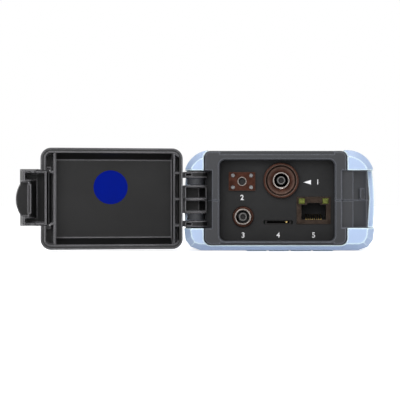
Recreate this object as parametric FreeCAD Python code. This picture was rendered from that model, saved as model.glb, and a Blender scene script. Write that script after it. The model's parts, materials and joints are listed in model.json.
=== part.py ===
import FreeCAD, Part
import math
import os

# Handheld optical time domain reflectometer, lying on its back with the screen up.
# X runs across the tester, Y from the port end to the far end, Z up. The origin is
# the centre of the back rest plane. Units are millimetres.

# Driving dimensions of the tester
HALF_W = 45.6
LENGTH = 190.0
HEIGHT = 48.0
FRONT = -LENGTH / 2
REAR = LENGTH / 2
BASE = 0.5
SEAM_Z = 24.2
SEAM_GROOVE = (0.4, 0.14)
BOOT_T = 2.2
SHELL_T = 2.4
CLEAR = 0.3

# Stations along the body as (Y, extra inset): the ends draw in, the middle is straight
CORE_STATIONS = [(FRONT + 2.4, 2.6), (FRONT + 6, 0), (REAR - 9, 0), (REAR - 2.4, 3.4)]
BOOT_STATIONS = [(FRONT + 0.3, 3.2), (FRONT + 5.5, 0), (REAR - 8, 0), (REAR, 4.5)]

# Deck with the screen and the keys on the upper face
DECK_HALF_W = 33.0
DECK_TOP = HEIGHT - 0.5
DECK_T = 4.1
DECK_R = 7.0
DECK_END = REAR - 12
LENS_X = (-30.0, 30.0)
LENS_Y = (-80.0, 0.0)
LENS_R = 4.0
LENS_T = 1.2
LENS_DROP = 0.2
VIEW_X = (-26.5, 26.5)
VIEW_Y = (-75.0, -5.0)
DISPLAY_X = (-29.0, 29.0)
DISPLAY_Y = (-72.5, -1.0)
DISPLAY_T = 5.0

# Keys
KEY_TOP = DECK_TOP + 1.1
KEY_GAP = 0.3
KEY_FLANGE_T = 1.1
KEY_FLANGE_Z = DECK_TOP - DECK_T - 0.1 - KEY_FLANGE_T
NAV_Y = 46.0
NAV_R = 16.0
NAV_INNER_R = 8.0
NAV_SPLIT = 1.2
OK_R = 6.0
LOWER_KEY = (10.4, 10.4)
LOWER_CUT = 3.0
BAR = (16.0, 8.0)
BAR_CUT = 1.8
SOFT_ROW_Y = 17.0
LOWER_ROW_Y = 73.0
KEY_PITCH = 21.0
MAT_X = (-31.0, 31.0)
MAT_Y = (6.0, 81.0)
MAT_T = 1.2

# Bezel at the port end and the tray of ports sunk into it
BEZEL_X = (-35.3, 31.9)
BEZEL_Z = (3.3, DECK_TOP)
BEZEL_R = 3.0
BEZEL_DEPTH = 14.0
BEZEL_EDGE = 0.6
BEZEL_GAP = 0.25
TOP_BAND = (1.8, 1.4)
LOW_BAND = (1.2, 0.9)
TRAY_X = (-28.0, 26.0)
TRAY_Z = (5.2, 43.2)
TRAY_R = 2.6
TRAY_T = 1.2
TRAY_LIP = 1.6
TRAY_DEPTH = 8.5
PANEL_T = 1.8
PANEL_Y = FRONT + TRAY_DEPTH
MIDDLE_Z = 24.7

# Ports: centres across the panel, and reach out of it and behind it
OTDR_X, OTDR_Z = 0.9, 33.6
OPM_X, OPM_Z = -17.7, 33.2
VFL_X, VFL_Z = -17.2, 16.4
FERRULE_R = 1.25
SLEEVE_R = 2.0
OTDR_BARREL_R = 3.95
OTDR_BORE_R = 3.2
OTDR_FLANGE_R = 8.45
OTDR_DISH_R = 7.1
OTDR_REACH = 7.2
OTDR_TAIL = 8.0
TAIL_PLATE_T = 1.5
TAIL_HALF = 3.2
VFL_BARREL_R = 3.9
VFL_BORE_R = 3.1
VFL_NUT_R = 5.1
VFL_REACH = 6.4
VFL_TAIL = 7.0
SLEEVE_SHORT = 1.6
KEYWAY_W = 2.3
KEYWAY_L = 3.2
OPM_HALF = (6.3, 4.4)
OPM_PLATE_T = 1.6
OPM_BORE_R = 1.7
OPM_SLEEVE_R = 2.2
OPM_TAIL = 5.0
OPM_SCREW_AT = (4.4, 2.9)
OPM_SCREW_R = 1.05
RJ_X, RJ_Z = (8.3, 24.5), (12.9, 25.9)
RJ_Y = (PANEL_Y - 0.6, PANEL_Y + 16.0)
RJ_WALL = 0.7
RJ_PLATE_T = 0.5
RJ_MOUTH_HALF = 5.9
RJ_MOUTH_Z = (15.0, 22.1)
RJ_STEP_HALF = 3.1
RJ_STEP_Z = 23.0
RJ_LIGHT_AT = 5.65
RJ_LIGHT_HALF = 1.5
RJ_LIGHT_Z = (22.5, 25.2)
CONTACT_PITCH = 1.02
SD_X, SD_Z = (-7.5, 6.5), (12.6, 14.8)
SD_BLOCK_Z = (12.2, 15.4)
PORT_BOARD_Y = (PANEL_Y + 16.0, PANEL_Y + 17.6)

# Port cover and its hinge, given with the cover closed
HINGE_X = -39.7
KNUCKLE_R = 5.5
HINGE_Y = FRONT + 5.8
PIN_R = 1.5
PIN_FIT = 0.05
OPEN_DEG = 170.0
NOTCH_X = -31.6
NOTCH_Z = (11.0, 38.3)
NOTCH_DEPTH = 14.5
ARM_Z = (34.9, 37.7)
ARM_WALL = 0.85
ARM_SLOT_X = HINGE_X + 2.4
LUG_Z = (31.6, 34.6)
LUG_R = 4.0
CORE_Z = (18.1, 31.3)
CORE_WALL = 0.9
COVER_X = (-34.2, 32.7)
COVER_Z = (0.9, 49.0)
COVER_GAP = 0.3
COVER_D = 11.0
RIM_Y = FRONT - COVER_GAP
FACE_Y = RIM_Y - COVER_D
COVER_R = 5.0
RIM_T = 0.8
SEAL_W = 0.75
SEAL_D = 1.4
LIP_T = 0.8
COVER_FLOOR_T = 2.0
COVER_BEVEL = (2.0, 7.0)
COVER_SLOPE = 3.0
TUB_CUT = 1.6
TUB_X = (-30.6, 25.8)
TUB_WALL = 0.85
WALL_DROP = 0.4
STICKER_R = 8.15
STICKER_T = 0.15
STICKER_SIDES = 24
STICKER_X, STICKER_Z = -0.35, 30.45

# Latch at the free end of the cover, given snapped shut
LATCH_Z = (12.6, 38.1)
LATCH_FLARE_Z = (12.0, 39.0)
LATCH_FLARE_X = 34.0
LATCH_WALL = 1.0
LATCH_T = 1.4
LATCH_LIP_T = 1.2
LATCH_PIN_X = 29.5
LATCH_PIN_Y = FRONT - 6.5
LATCH_PIN_R = 0.9
LATCH_BARREL_R = 1.7
LATCH_FREE_DEG = 12.0
LATCH_EDGE_X = 28.2
LATCH_SHELF_Y = LATCH_PIN_Y - 2.1
THUMB_Z = (16.7, 33.0)
THUMB_X = 36.4
THUMB_WALL = 0.85
THUMB_SLOT_X = 38.4
TAB_R = 14.0
TAB_X = 44.3
TAB_Y = (FACE_Y + 3.1, FACE_Y + 6.2)
HOOK_Z = (18.0, 31.8)
CATCH_X = 29.4
CATCH_Z = (11.2, 38.4)
SHELF_X = 35.0
SHELF_DEPTH = 2.5

# Case screws, posts, board and what stands inside
SCREW_SPOTS = [(-35.0, -66.0), (35.0, -66.0), (-35.0, 81.0), (35.0, 81.0)]
POST_HALF = 3.2
POST_TOP = 41.0
SCREW_R = 1.4
SCREW_TIP = 37.0
HEAD_R = 2.5
HEAD_Z = (3.1, 5.2)
BOARD_X = (-36.0, 36.0)
BOARD_Y = (-60.0, 74.0)
BOARD_Z = (22.6, 24.2)
PROP_SPOTS = [(-33.0, -46.0), (33.0, -46.0), (-33.0, 60.0), (33.0, 60.0)]
PROP_HALF = 1.6
OPTICS_X = (-8.0, 30.0)
OPTICS_Y = (-54.0, -3.0)
OPTICS_H = 14.0
COIL_X, COIL_Y = -22.5, -28.0
COIL_R = (7.6, 10.4)
SPOOL_SIDES = 8
TRAY_HALF = 12.0
TRAY_H = 6.0

# Back: folding stand, battery bay and the boot's windows and feet
STAND_X = (-20.0, 20.0)
STAND_Z = (1.0, 3.2)
STAND_HINGE_Y, STAND_HINGE_Z = -63.0, 3.2
STAND_END_Y = -8.0
STAND_BARREL_R = 2.0
STAND_PIN_R = 1.0
STAND_PIN_OVER = 3.0
BAY_X = (-28.0, 28.0)
BAY_Y = (9.0, 76.0)
BAY_TOP = 8.0
BAY_CUT = 2.0
COVER_PLATE_Z = (2.7, 4.5)
PACK_TOP = 20.5
BACK_WINDOW_X = (-32.0, 32.0)
BACK_WINDOWS_Y = [(-70.0, -5.0), (5.0, 80.0)]
FOOT_ROWS_Y = (FRONT + 8, REAR - 22)
FOOT_FIRST_X = -15.6
FOOT_PITCH = 10.55
FOOT = (9.6, 12.0)
REST = (28.0, 7.0)

# Side sockets and the flap over them
FLAP_Y = (34.0, 66.0)
FLAP_Z = (13.0, 25.0)
SOCKET_Z = 18.5
SOCKET_X = (34.6, 41.8)
JACK_Y = 41.0
JACK_HALF = 3.6
JACK_BORE_R = 2.7
JACK_PIN_HALF = 0.8
USB_Y = (51.0, 60.0)
USB_HALF_Z = 1.8
USB_WALL = 0.5

NODES = {}
FAR = 60.0
ALL_Y = (-130.0, 130.0)


# ---- plain shapes

def vec(x, y, z):
    return FreeCAD.Vector(x, y, z)


def box(x, y, z):
    """Block between the pairs of limits along X, Y and Z."""
    return Part.makeBox(x[1] - x[0], y[1] - y[0], z[1] - z[0], vec(x[0], y[0], z[0]))


def rod(radius, start, end):
    """Cylinder from one point to another."""
    axis = end.sub(start)
    return Part.makeCylinder(radius, axis.Length, start, axis)


def rod_y(radius, x, z, y):
    return rod(radius, vec(x, y[0], z), vec(x, y[1], z))


def rod_z(radius, x, y, z):
    return rod(radius, vec(x, y, z[0]), vec(x, y, z[1]))


def ring_y(outer, inner, x, z, y):
    return rod_y(outer, x, z, y).cut(rod_y(inner, x, z, y))


def edges_along(shape, axis):
    """Edges that run along one axis, 0 to 2 for X to Z."""
    return [e for e in shape.Edges if abs(e.Vertexes[0].Point[axis] - e.Vertexes[1].Point[axis]) > 1e-6]


def rounded_y(x, z, radius, y):
    """Plate with rounded corners in the XZ plane, thick along Y."""
    block = box(x, y, z)
    return block.makeFillet(radius, edges_along(block, 1))


def rounded_z(x, y, radius, z):
    """Plate with rounded corners in the XY plane, thick along Z."""
    block = box(x, y, z)
    return block.makeFillet(radius, edges_along(block, 2))


def prism(corners, along):
    """Prism over a closed polygon of points."""
    return Part.Face(Part.makePolygon(corners + corners[:1])).extrude(along)


def column(sides, radius, x, y, z):
    """Upright prism over a regular polygon, with the radius to its corners."""
    turns = [2 * math.pi * (index + 0.5) / sides for index in range(sides)]
    return prism_z([(x + radius * math.cos(turn), y + radius * math.sin(turn)) for turn in turns], z)


def cut_corner_z(x, y, cut, z):
    """Plate with cut corners in the XY plane, thick along Z."""
    points = [(x[0] + cut, y[0]), (x[1] - cut, y[0]), (x[1], y[0] + cut), (x[1], y[1] - cut)]
    points += [(x[1] - cut, y[1]), (x[0] + cut, y[1]), (x[0], y[1] - cut), (x[0], y[0] + cut)]
    return prism_z(points, z)


def prism_x(points, x):
    """Prism along X over a polygon of Y, Z points."""
    return prism([vec(x[0], py, pz) for py, pz in points], vec(x[1] - x[0], 0, 0))


def prism_y(points, y):
    """Prism along Y over a polygon of X, Z points."""
    return prism([vec(px, y[0], pz) for px, pz in points], vec(0, y[1] - y[0], 0))


def prism_z(points, z):
    """Upright prism over a polygon of X, Y points."""
    return prism([vec(px, py, z[0]) for px, py in points], vec(0, 0, z[1] - z[0]))


def joined(shapes):
    whole = shapes[0]
    for shape in shapes[1:]:
        whole = whole.fuse(shape)
    return whole.removeSplitter()


def less(shape, cuts):
    for cut in cuts:
        shape = shape.cut(cut)
    return shape


def grown(limits, amount):
    return (limits[0] - amount, limits[1] + amount)


def around(middle, half):
    return (middle - half, middle + half)


def mirrored_z(limits):
    """The same band on the other side of the hinge's middle height."""
    return (2 * MIDDLE_Z - limits[1], 2 * MIDDLE_Z - limits[0])


def keep(name, shape):
    """Note the finished shape of one node."""
    NODES[name] = shape


def swing(shape, x, y, degrees):
    """Copy turned about an upright axis."""
    turned = shape.copy()
    turned.rotate(vec(x, y, 0), vec(0, 0, 1), degrees)
    return turned


# ---- body

def side_profile(inset):
    """Points down one side: top edge, upper corner, shoulder, belly, hip, lower corner, base edge."""
    corner = 0.7 * inset
    return [
        (DECK_HALF_W, HEIGHT - inset),
        (40.4 - corner, 45.2 - corner),
        (HALF_W - 1.2 - inset, 39.6),
        (HALF_W - inset, 25.0),
        (HALF_W - 1.2 - inset, 5.4 + 0.5 * inset),
        (42.0 - corner, 2.2 + corner),
        (37.4, BASE + inset),
    ]


def side_edges(points, crowned):
    """Edges down one side: two arcs and two facets where it is crowned, else straight runs."""
    curves = [Part.Arc(*points[0:3]), Part.Arc(*points[2:5])] if crowned else []
    run = points[4:] if crowned else points
    lines = [Part.LineSegment(first, second) for first, second in zip(run, run[1:])]
    return [piece.toShape() for piece in curves + lines]


def body_section(inset, y, crowned):
    right = [vec(px, y, pz) for px, pz in side_profile(inset)]
    left = [vec(-point.x, y, point.z) for point in right]
    edges = [Part.LineSegment(left[0], right[0]).toShape()]
    edges += side_edges(right, crowned)
    edges.append(Part.LineSegment(right[-1], left[-1]).toShape())
    edges += side_edges(left, crowned)
    return Part.Wire(Part.__sortEdges__(edges))


def body_solid(inset, stations, crowned):
    """Loft through cross-sections at (Y, further inset) stations."""
    return Part.makeLoft([body_section(inset + more, y, crowned) for y, more in stations], True, True)


def bezel_block(grow, depth):
    return rounded_y(grown(BEZEL_X, grow), grown(BEZEL_Z, grow), BEZEL_R + grow, (FRONT, FRONT + depth))


def bezel_frame():
    """Frame round the ports: flat sides, sloped top and bottom bands, broken edges."""
    opening = rounded_y(TRAY_X, TRAY_Z, TRAY_R, grown((FRONT, FRONT + BEZEL_DEPTH), 1))
    frame = bezel_block(0, BEZEL_DEPTH).cut(opening)
    front_edges = [e for e in frame.Edges if all(abs(v.Y - FRONT) < 1e-6 for v in e.Vertexes)]
    frame = frame.makeChamfer(BEZEL_EDGE, front_edges)
    top, low = BEZEL_Z[1], BEZEL_Z[0]
    top_cut = [(FRONT - 1, top - TOP_BAND[0]), (FRONT, top - TOP_BAND[0]), (FRONT + TOP_BAND[1], top)]
    low_cut = [(FRONT - 1, low + LOW_BAND[0]), (FRONT, low + LOW_BAND[0]), (FRONT + LOW_BAND[1], low)]
    top_cut += [(FRONT + TOP_BAND[1], top + 1), (FRONT - 1, top + 1)]
    low_cut += [(FRONT + LOW_BAND[1], low - 1), (FRONT - 1, low - 1)]
    return less(frame, [prism_x(top_cut, TRAY_X), prism_x(low_cut, TRAY_X)])


def hinge_notch():
    return box((-FAR, NOTCH_X), (FRONT - 5, FRONT + NOTCH_DEPTH), NOTCH_Z)


def catch_recess():
    """Pocket beside the bezel: a shelf with an undercut edge, then a slope back to the side wall."""
    points = [
        (CATCH_X, FRONT - 5),
        (CATCH_X, FRONT + SHELF_DEPTH),
        (SHELF_X, FRONT + SHELF_DEPTH),
        (SHELF_X, FRONT + SHELF_DEPTH + 0.8),
        (SHELF_X - 0.7, FRONT + SHELF_DEPTH + 1.5),
        (SHELF_X - 0.7, FRONT + SHELF_DEPTH + 2.5),
        (41.8, FRONT + 14.0),
        (FAR, FRONT + 14.0),
        (FAR, FRONT - 5),
    ]
    return prism_z(points, CATCH_Z)


def catch_rib():
    """Short stiffening rib on the slope of the catch recess."""
    points = [(38.7, FRONT + 10.8), (38.7, FRONT + 9.3), (40.9, FRONT + 11.9), (40.9, FRONT + 13.4)]
    return prism_z(points, (SEAM_Z + 0.3, 29.8))


def seam_groove():
    """Parting line across the bezel and the shelf of the catch recess."""
    depth, half_width = SEAM_GROOVE
    level = around(SEAM_Z, half_width)
    shelf = box((CATCH_X, SHELF_X), (FRONT, FRONT + SHELF_DEPTH + depth), level)
    return shelf.fuse(box(BEZEL_X, (FRONT - 1, FRONT + depth), level))


def hinge_lug(z):
    """Knuckle of the housing with a web back to the notch wall."""
    web = box((HINGE_X - 2.6, HINGE_X + LUG_R), (HINGE_Y, FRONT + NOTCH_DEPTH + 1), z)
    lug = rod_z(LUG_R, HINGE_X, HINGE_Y, z).fuse(web)
    return lug.cut(rod_z(PIN_R + PIN_FIT, HINGE_X, HINGE_Y, grown(z, 1)))


def cavity():
    """Room inside the housing, with broken corners."""
    half = HALF_W - 1.2 - BOOT_T - SHELL_T
    low, high = BASE + BOOT_T + SHELL_T, DECK_TOP - DECK_T
    corner = 4.5
    points = [(-half, low + corner), (-half, high - corner), (-half + corner, high), (half - corner, high)]
    points += [(half, high - corner), (half, low + corner), (half - corner, low), (-half + corner, low)]
    return prism_y(points, (FRONT + 22, REAR - 7))


def housing_core():
    """Both shells in one: core section, screen deck and bezel, hollow inside."""
    core = body_solid(BOOT_T, CORE_STATIONS, False)
    deck_x = (-DECK_HALF_W, DECK_HALF_W)
    deck = rounded_z(deck_x, (FRONT, DECK_END), DECK_R, (DECK_TOP - 8, DECK_TOP))
    deck = deck.common(box(deck_x, (FRONT + BEZEL_DEPTH - 1, DECK_END), (0, FAR)))
    opening = rounded_y(TRAY_X, TRAY_Z, TRAY_R, (FRONT - 1, FRONT + 26))
    pocket = box(grown(TRAY_X, TRAY_T), (FRONT + TRAY_LIP, FRONT + 26), grown(TRAY_Z, TRAY_T))
    whole = joined([core.cut(opening), deck, bezel_frame()])
    whole = less(whole, [pocket, cavity(), hinge_notch(), catch_recess(), seam_groove()])
    return joined([whole, catch_rib(), hinge_lug(LUG_Z), hinge_lug(mirrored_z(LUG_Z))])


def shells(core):
    """Cut the openings and add the posts, then part the housing at its seam."""
    floor = BASE + BOOT_T + 1
    posts = [box(around(x, POST_HALF), around(y, POST_HALF), (floor, POST_TOP)) for x, y in SCREW_SPOTS]
    props = [box(around(x, PROP_HALF), around(y, PROP_HALF), (floor, BOARD_Z[0])) for x, y in PROP_SPOTS]
    hinge_pad = box(grown(STAND_X, 6), around(STAND_HINGE_Y, 6), (3.5, 8.0))
    whole = joined([core, hinge_pad] + posts + props)
    pin_start, pin_end = stand_pin_ends()
    cuts = [
        rounded_z(grown(LENS_X, 0.15), grown(LENS_Y, 0.15), LENS_R, (DECK_TOP - LENS_DROP - LENS_T, FAR)),
        box(VIEW_X, VIEW_Y, (DECK_TOP - DECK_T - 2, DECK_TOP)),
        box(grown(STAND_X, 0.5), (STAND_HINGE_Y, STAND_END_Y + 0.6), (0, 3.6)),
        box(grown(STAND_X, 0.5), around(STAND_HINGE_Y, STAND_BARREL_R + 0.5), (0, 5.8)),
        rod(STAND_PIN_R, pin_start, pin_end),
        cut_corner_z(grown(BAY_X, 0.2), grown(BAY_Y, 0.2), BAY_CUT, (0, COVER_PLATE_Z[1])),
        box(grown(BAY_X, -1.5), grown(BAY_Y, -1.5), (0, BAY_TOP)),
    ]
    for name, kind, x, y in key_list():
        cuts.append(key_outline(kind, x, y, KEY_GAP, (DECK_TOP - DECK_T - 1, FAR)))
    for x, y in SCREW_SPOTS:
        cuts.append(column(8, SCREW_R, x, y, (2.0, SCREW_TIP + 1)))
        cuts.append(column(6, HEAD_R + 0.2, x, y, (0, HEAD_Z[1])))
    cuts += side_socket_rooms()
    whole = less(whole, cuts)
    keep("front_shell", whole.common(box((-FAR, FAR), ALL_Y, (SEAM_Z, FAR))))
    keep("back_shell", whole.common(box((-FAR, FAR), ALL_Y, (0, SEAM_Z))))


def boot():
    """Rubber boot over the sides, the end and the back, and the flap that is cut from it."""
    pads = []
    for row_y in FOOT_ROWS_Y:
        for column in range(4):
            x = FOOT_FIRST_X + FOOT_PITCH * column
            pads.append(box((x, x + FOOT[0]), (row_y, row_y + FOOT[1]), (0, BASE + 1)))
    pads.append(box(around(0, REST[0] / 2), around(0, REST[1] / 2), (0, BASE + 1)))
    whole = joined([body_solid(0, BOOT_STATIONS, True)] + pads)
    deck_x = (-DECK_HALF_W, DECK_HALF_W)
    above = (DECK_TOP - 9, FAR)
    deck_room = rounded_z(deck_x, (FRONT - 10, DECK_END), DECK_R, above)
    cuts = [
        body_solid(BOOT_T, CORE_STATIONS, False),
        deck_room.common(box(deck_x, (FRONT + BEZEL_DEPTH - 1, REAR), above)),
        bezel_block(BEZEL_GAP, BEZEL_DEPTH + 1),
        box(grown(BEZEL_X, -1.2), (FRONT - 1, FRONT + BEZEL_DEPTH + 1), (DECK_TOP - 1, FAR)),
        hinge_notch(),
        catch_recess(),
    ]
    cuts += [rounded_z(BACK_WINDOW_X, y, 5, (-1, BASE + BOOT_T + 1)) for y in BACK_WINDOWS_Y]
    whole = less(whole, cuts)
    flap_room = box((30, FAR), grown(FLAP_Y, -CLEAR), grown(FLAP_Z, -CLEAR))
    keep("side_flap", whole.common(flap_room))
    keep("rubber_boot", whole.cut(box((30, FAR), FLAP_Y, FLAP_Z)))


# ---- ports

def port_panel():
    """Tray behind the bezel: four walls and a floor with a hole for every port."""
    tray = box(grown(TRAY_X, TRAY_T), (FRONT + TRAY_LIP, PANEL_Y + PANEL_T), grown(TRAY_Z, TRAY_T))
    depth = (PANEL_Y - 1, PANEL_Y + PANEL_T + 1)
    cuts = [
        rounded_y(TRAY_X, TRAY_Z, TRAY_R, (FRONT - 1, PANEL_Y)),
        box(around(OTDR_X, OTDR_BARREL_R), depth, around(OTDR_Z, OTDR_BARREL_R)),
        box(around(OPM_X, OPM_SLEEVE_R), depth, around(OPM_Z, OPM_SLEEVE_R)),
        rod_y(VFL_BARREL_R, VFL_X, VFL_Z, depth),
        box(RJ_X, depth, RJ_Z),
        rounded_y(SD_X, SD_Z, 1.05, depth),
    ]
    keep("port_panel", less(tray, cuts))


def keyed_barrel(radius, bore, x, z, y):
    """Barrel of a fibre adapter with its keyway slot at the bottom."""
    slot = box(around(x, KEYWAY_W / 2), (y[0] - 1, y[0] + KEYWAY_L), (z - radius - 1, z - 1.5))
    return ring_y(radius, bore, x, z, y).cut(slot)


def otdr_port():
    """Round flange with a raised rim, keyed barrel and sleeve."""
    profile = [
        (OTDR_BARREL_R, PANEL_Y),
        (OTDR_FLANGE_R, PANEL_Y),
        (OTDR_FLANGE_R, PANEL_Y - 3.4),
        (OTDR_DISH_R, PANEL_Y - 3.4),
        (OTDR_DISH_R, PANEL_Y - 2.2),
        (OTDR_BARREL_R, PANEL_Y - 2.2),
    ]
    corners = [vec(OTDR_X + r, y, OTDR_Z) for r, y in profile]
    face = Part.Face(Part.makePolygon(corners + corners[:1]))
    keep("otdr_flange", face.revolve(vec(OTDR_X, 0, OTDR_Z), vec(0, 1, 0), 360))
    reach = (PANEL_Y - OTDR_REACH, PANEL_Y + OTDR_TAIL)
    barrel = keyed_barrel(OTDR_BARREL_R, OTDR_BORE_R, OTDR_X, OTDR_Z, reach)
    plate_y = (reach[1], reach[1] + TAIL_PLATE_T)
    tail = box(around(OTDR_X, TAIL_HALF), plate_y, around(OTDR_Z, TAIL_HALF))
    keep("otdr_barrel", barrel.fuse(tail))
    sleeve_y = (reach[0] + SLEEVE_SHORT, reach[1])
    keep("otdr_sleeve", ring_y(SLEEVE_R, FERRULE_R, OTDR_X, OTDR_Z, sleeve_y))


def vfl_port():
    keep("vfl_nut", ring_y(VFL_NUT_R, VFL_BARREL_R, VFL_X, VFL_Z, (PANEL_Y - 1.4, PANEL_Y)))
    reach = (PANEL_Y - VFL_REACH, PANEL_Y + VFL_TAIL)
    keep("vfl_barrel", keyed_barrel(VFL_BARREL_R, VFL_BORE_R, VFL_X, VFL_Z, reach))
    keep("vfl_sleeve", ring_y(SLEEVE_R, FERRULE_R, VFL_X, VFL_Z, (reach[0] + SLEEVE_SHORT, reach[1])))
    laser_y = (reach[1], PORT_BOARD_Y[0])
    keep("vfl_laser", box(around(VFL_X, TAIL_HALF), laser_y, around(VFL_Z, TAIL_HALF)))


def opm_port():
    """Flange plate on four screws, detector sleeve and the detector behind it."""
    plate_y = (PANEL_Y - OPM_PLATE_T, PANEL_Y)
    plate = box(around(OPM_X, OPM_HALF[0]), plate_y, around(OPM_Z, OPM_HALF[1]))
    keep("opm_flange", plate.cut(rod_y(OPM_SLEEVE_R, OPM_X, OPM_Z, grown(plate_y, 1))))
    heads = []
    for side in (-1, 1):
        for level in (-1, 1):
            x, z = OPM_X + side * OPM_SCREW_AT[0], OPM_Z + level * OPM_SCREW_AT[1]
            head = column(8, OPM_SCREW_R, x, z, (0, 0.4))
            head.rotate(vec(0, 0, 0), vec(1, 0, 0), 90)
            head.translate(vec(0, plate_y[0], 0))
            heads.append(head)
    keep("opm_screws", Part.makeCompound(heads))
    sleeve_y = (plate_y[0] - 0.3, PANEL_Y + OPM_TAIL)
    keep("opm_sleeve", ring_y(OPM_SLEEVE_R, OPM_BORE_R, OPM_X, OPM_Z, sleeve_y))
    detector_y = (sleeve_y[1], sleeve_y[1] + 5.0)
    keep("opm_detector", box(around(OPM_X, 3.4), detector_y, around(OPM_Z, 3.4)))


def rj45_port():
    """Shielded socket: metal shell with a faced front, black insert, contacts and light pipes."""
    middle = (RJ_X[0] + RJ_X[1]) / 2
    inner_x, inner_z = grown(RJ_X, -RJ_WALL), grown(RJ_Z, -RJ_WALL)
    inner_y = (RJ_Y[0] + RJ_PLATE_T, RJ_Y[1] - RJ_WALL)
    mouth_y = (RJ_Y[0] - 1, RJ_Y[0] + 12.5)
    mouth = box(around(middle, RJ_MOUTH_HALF), mouth_y, RJ_MOUTH_Z)
    step = box(around(middle, RJ_STEP_HALF), mouth_y, (RJ_MOUTH_Z[1] - 0.1, RJ_STEP_Z))
    light_x = [around(middle + side * RJ_LIGHT_AT, RJ_LIGHT_HALF) for side in (-1, 1)]
    lights = [box(x, (RJ_Y[0] - 0.1, RJ_Y[0] + 6), RJ_LIGHT_Z) for x in light_x]
    shell = box(RJ_X, RJ_Y, RJ_Z).cut(box(inner_x, inner_y, inner_z))
    keep("rj45_shield", less(shell, [mouth, step] + lights))
    keep("rj45_insert", less(box(inner_x, inner_y, inner_z), [mouth, step] + lights))
    keep("rj45_lights", Part.makeCompound(lights))
    contacts = []
    for index in range(8):
        x = middle + CONTACT_PITCH * (index - 3.5)
        profile = [
            (mouth_y[0] + 4.0, RJ_MOUTH_Z[0]),
            (mouth_y[0] + 4.0, RJ_MOUTH_Z[0] + 0.3),
            (mouth_y[0] + 12.0, 17.5),
            (mouth_y[1], 17.5),
            (mouth_y[1], 17.1),
            (mouth_y[0] + 12.2, 17.1),
        ]
        contacts.append(prism_x(profile, around(x, 0.2)))
    keep("rj45_contacts", Part.makeCompound(contacts))


def card_socket():
    x = grown(SD_X, -0.6)
    block = box(x, (PANEL_Y + PANEL_T, PORT_BOARD_Y[0]), SD_BLOCK_Z)
    slot = box(grown(x, -1.0), (PANEL_Y, PORT_BOARD_Y[0] - 1), (SD_Z[0] + 0.6, SD_Z[1] - 0.5))
    keep("card_socket", block.cut(slot))


# ---- port cover

def closed_to_open(shape):
    return swing(shape, HINGE_X, HINGE_Y, -OPEN_DEG)


def cover_skin():
    """Outer shell of the cover, bevelled along its upper and lower outer edges."""
    skin = rounded_y(COVER_X, COVER_Z, COVER_R, (FACE_Y, RIM_Y))
    inset, depth = COVER_BEVEL
    for edge, inward in ((COVER_Z[0], 1), (COVER_Z[1], -1)):
        outside = edge - inward * 5
        points = [(FACE_Y, edge + inward * inset), (FACE_Y + depth, edge), (FACE_Y + depth, outside)]
        points += [(FACE_Y - 1, outside), (FACE_Y - 1, edge + inward * inset)]
        skin = skin.cut(prism_x(points, (-FAR, FAR)))
    return skin


def cover_tub():
    """Hollow of the cover: straight troughs at both ends, sloped sides between the cross walls."""
    rim = RIM_T + SEAL_W + LIP_T
    limits_z = grown(COVER_Z, -rim)
    floor_y = FACE_Y + COVER_FLOOR_T
    tub_x = grown(COVER_X, -rim)
    outline = [(tub_x[0], limits_z[0] + TUB_CUT), (tub_x[0], limits_z[1] - TUB_CUT)]
    outline += [(tub_x[0] + TUB_CUT, limits_z[1]), (tub_x[1] - TUB_CUT, limits_z[1])]
    outline += [(tub_x[1], limits_z[1] - TUB_CUT), (tub_x[1], limits_z[0] + TUB_CUT)]
    outline += [(tub_x[1] - TUB_CUT, limits_z[0]), (tub_x[0] + TUB_CUT, limits_z[0])]
    tub = prism_y(outline, (floor_y, RIM_Y + 1))
    between = (TUB_X[0], TUB_X[1] + TUB_WALL)
    for edge, inward in ((limits_z[0], 1), (limits_z[1], -1)):
        outside, foot = edge - inward * 3, edge + inward * COVER_SLOPE
        points = [(floor_y - 1, outside), (floor_y - 1, foot), (floor_y, foot)]
        points += [(RIM_Y - 1.6, edge), (RIM_Y - 1.6, outside)]
        tub = tub.cut(prism_x(points, between))
    near_lip_x = (COVER_X[0] + RIM_T + SEAL_W, TUB_X[0])
    near_trough = box(near_lip_x, (floor_y, RIM_Y + 1), grown(limits_z, -TUB_CUT))
    return tub.fuse(near_trough)


def seal_ring():
    """Groove for the seal, just inside the outer wall of the cover."""
    depth = (RIM_Y - SEAL_D, RIM_Y + 1)
    outer = rounded_y(grown(COVER_X, -RIM_T), grown(COVER_Z, -RIM_T), COVER_R - RIM_T, depth)
    lip = RIM_T + SEAL_W
    inner = rounded_y(grown(COVER_X, -lip), grown(COVER_Z, -lip), COVER_R - lip, grown(depth, 1))
    return outer.cut(inner)


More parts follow.
